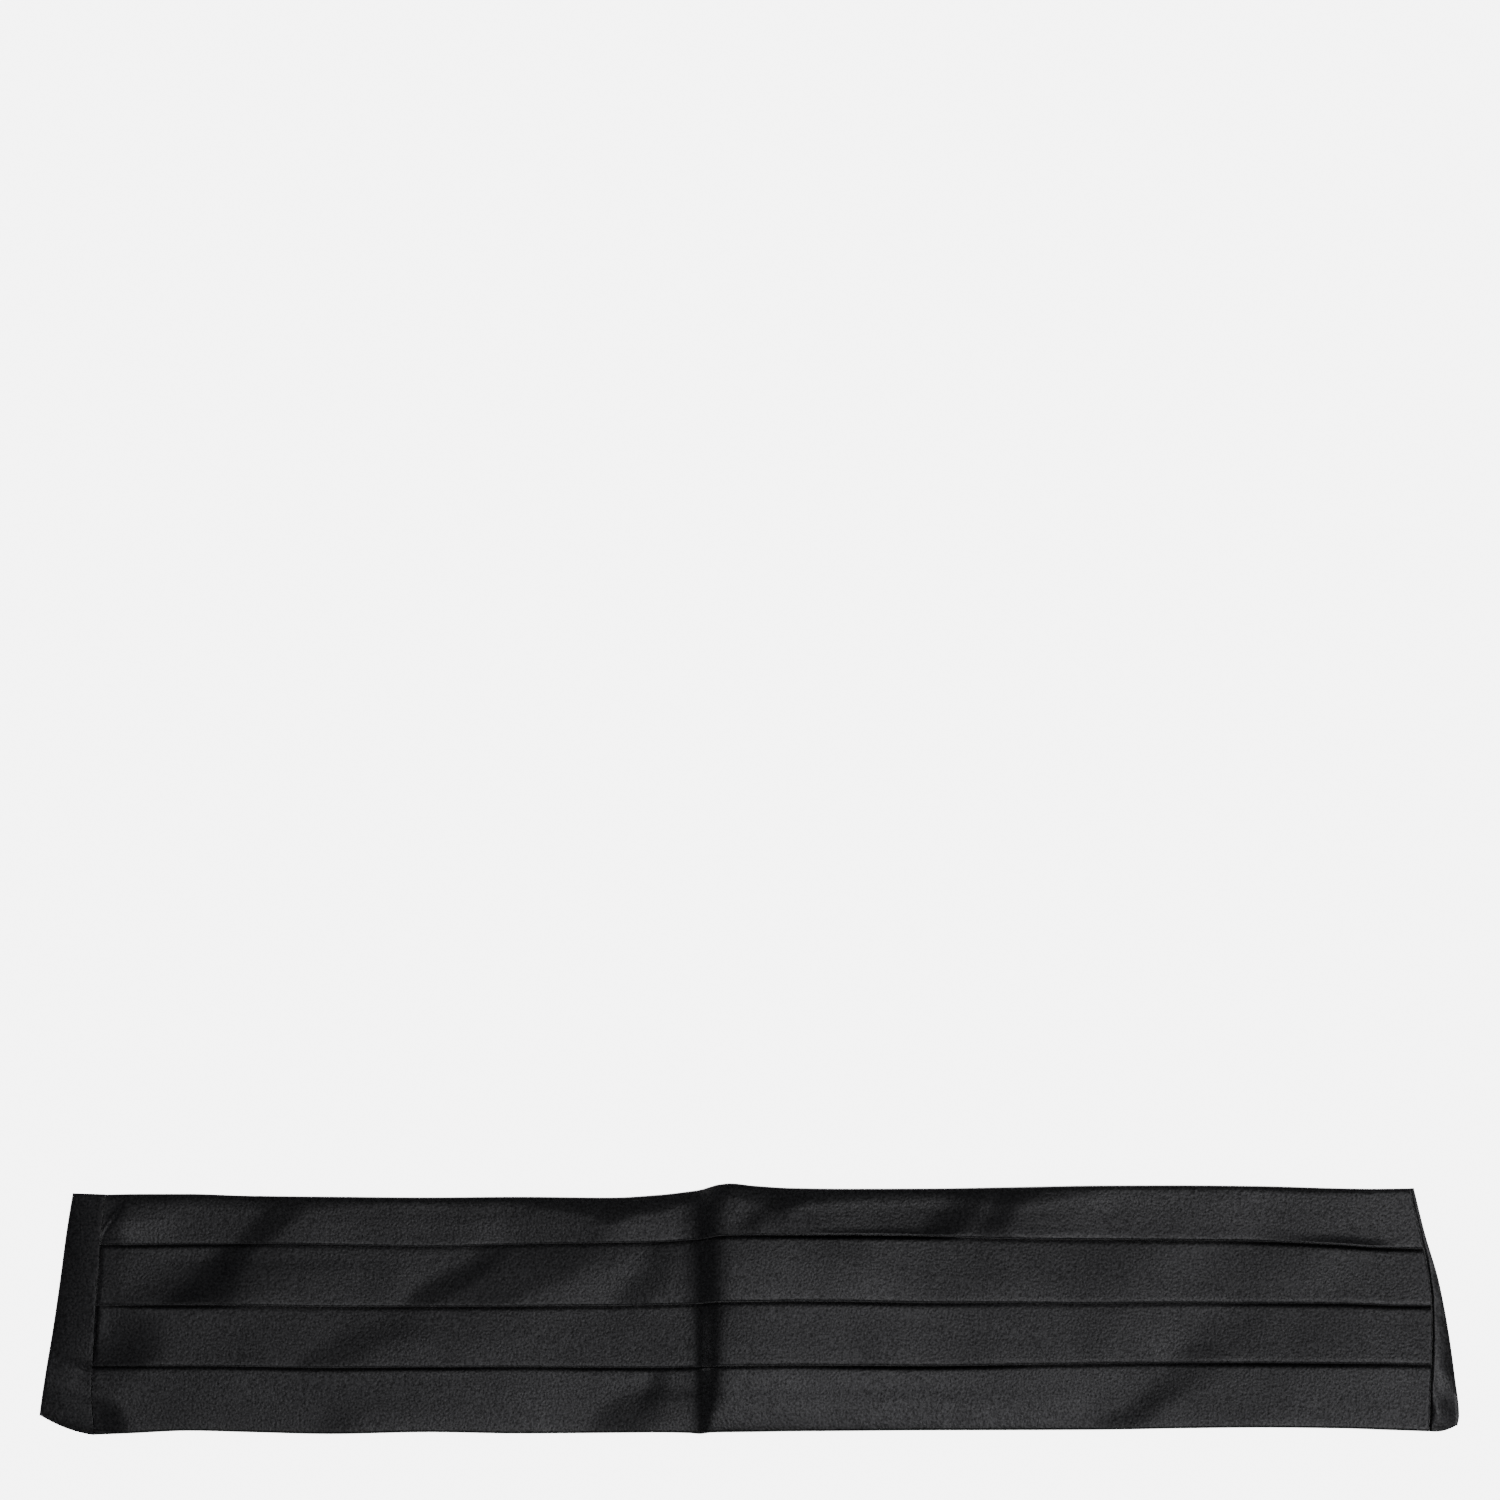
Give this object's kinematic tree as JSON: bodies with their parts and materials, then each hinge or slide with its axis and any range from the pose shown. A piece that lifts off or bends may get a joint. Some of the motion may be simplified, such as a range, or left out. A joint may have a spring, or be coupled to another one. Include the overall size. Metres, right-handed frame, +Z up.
{
  "type": "cummerbund",
  "caption": "Pleated satin waist sash laid flat, its tapered ends folded under to plain back straps with a flat hook and bar.",
  "frame": {"origin": "on the surface it lies on, under the middle of its length and width", "axes": "+X along the front to the picture's right, +Y towards its upper edge, +Z up out of the surface"},
  "size_m": [0.7098, 0.126, 0.0076],
  "materials": {
    "satin": "soft-sheen black satin",
    "webbing": "matt black ribbed webbing",
    "hook_metal": "satin black enamel"
  },
  "bodies": {
    "root": {"front_pleated": "satin", "end_panel_left": "satin", "end_panel_right": "satin", "back_strap_left": "webbing", "back_strap_right": "webbing", "strap_hook": "hook_metal", "strap_bar": "hook_metal"}
  },
  "joints": []
}
